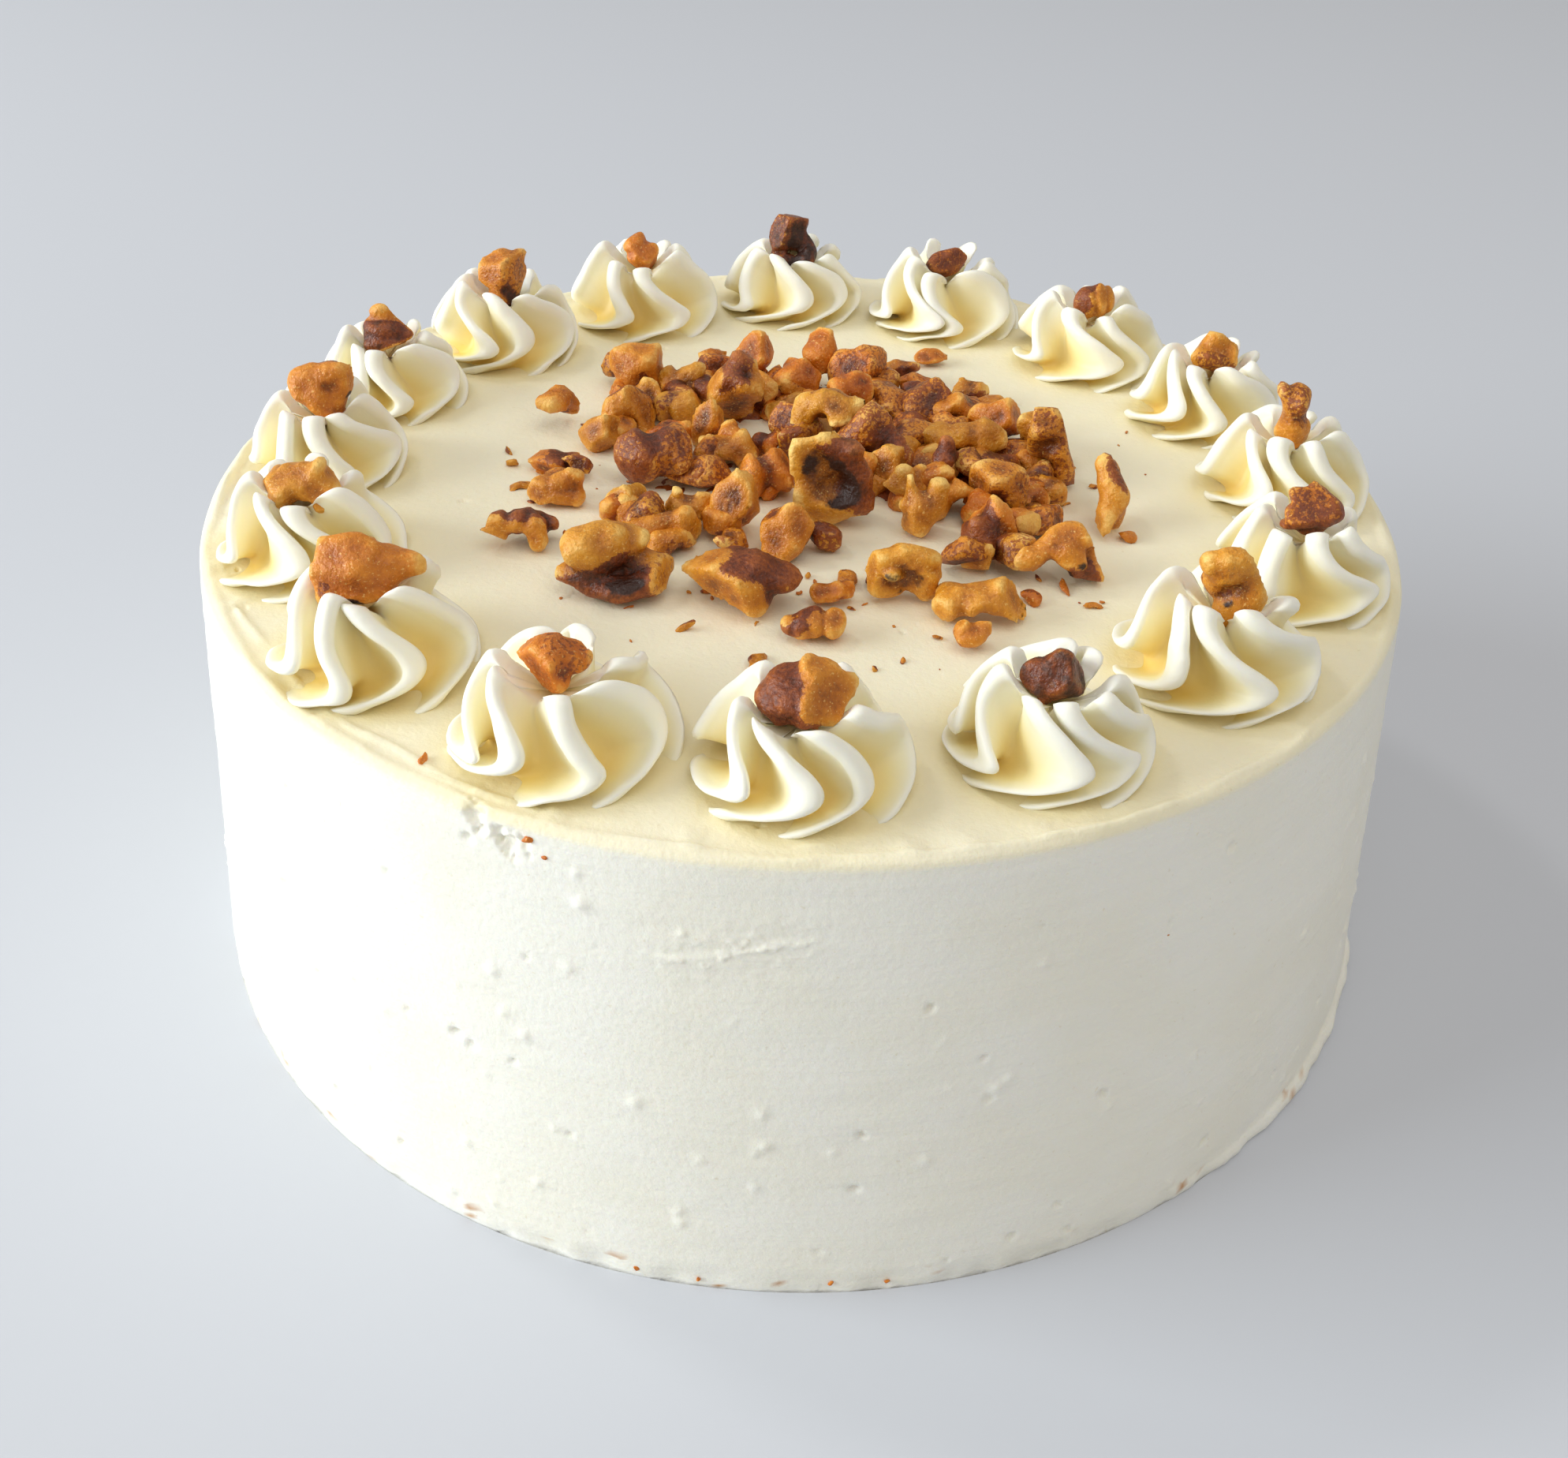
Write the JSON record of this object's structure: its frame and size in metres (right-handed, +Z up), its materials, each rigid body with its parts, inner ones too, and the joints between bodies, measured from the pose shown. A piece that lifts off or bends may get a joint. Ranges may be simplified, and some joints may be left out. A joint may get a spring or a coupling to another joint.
{
  "type": "carrot cake",
  "caption": "Round uncut carrot cake under off-white cream cheese icing, with a ring of piped rosettes topped with walnut pieces and a heap of chopped walnuts in the middle.",
  "frame": {"origin": "middle of the underside, on the surface that the cake stands on", "axes": "+Z up along the cake's axis, -Y towards the front of the cake, +X to its right"},
  "size_m": [0.228, 0.228, 0.1031],
  "materials": {
    "icing": "smooth off-white cream cheese icing with a soft satin sheen",
    "piped_icing": "soft piped cream cheese icing, satin, warmer yellow in the creases",
    "walnut": "broken walnut kernel, golden-tan cut faces and reddish-brown skin, slightly oily"
  },
  "bodies": {
    "root": {"cake_body": "icing", "rosette_01": "piped_icing", "rosette_02": "piped_icing", "rosette_03": "piped_icing", "rosette_04": "piped_icing", "rosette_05": "piped_icing", "rosette_06": "piped_icing", "rosette_07": "piped_icing", "rosette_08": "piped_icing", "rosette_09": "piped_icing", "rosette_10": "piped_icing", "rosette_11": "piped_icing", "rosette_12": "piped_icing", "rosette_13": "piped_icing", "rosette_14": "piped_icing", "rosette_15": "piped_icing", "rosette_16": "piped_icing", "walnut_piece_01": "walnut", "walnut_piece_02": "walnut", "walnut_piece_03": "walnut", "walnut_piece_04": "walnut", "walnut_piece_05": "walnut", "walnut_piece_06": "walnut", "walnut_piece_07": "walnut", "walnut_piece_08": "walnut", "walnut_piece_09": "walnut", "walnut_piece_10": "walnut", "walnut_piece_11": "walnut", "walnut_piece_12": "walnut", "walnut_piece_13": "walnut", "walnut_piece_14": "walnut", "walnut_piece_15": "walnut", "walnut_piece_16": "walnut", "walnut_loose_01": "walnut", "walnut_loose_02": "walnut", "walnut_loose_03": "walnut", "walnut_loose_04": "walnut", "walnut_loose_05": "walnut", "walnut_loose_06": "walnut", "walnut_loose_07": "walnut", "walnut_loose_08": "walnut", "walnut_loose_09": "walnut", "walnut_loose_10": "walnut", "walnut_loose_11": "walnut", "walnut_loose_12": "walnut", "walnut_heap": "walnut"}
  },
  "joints": []
}
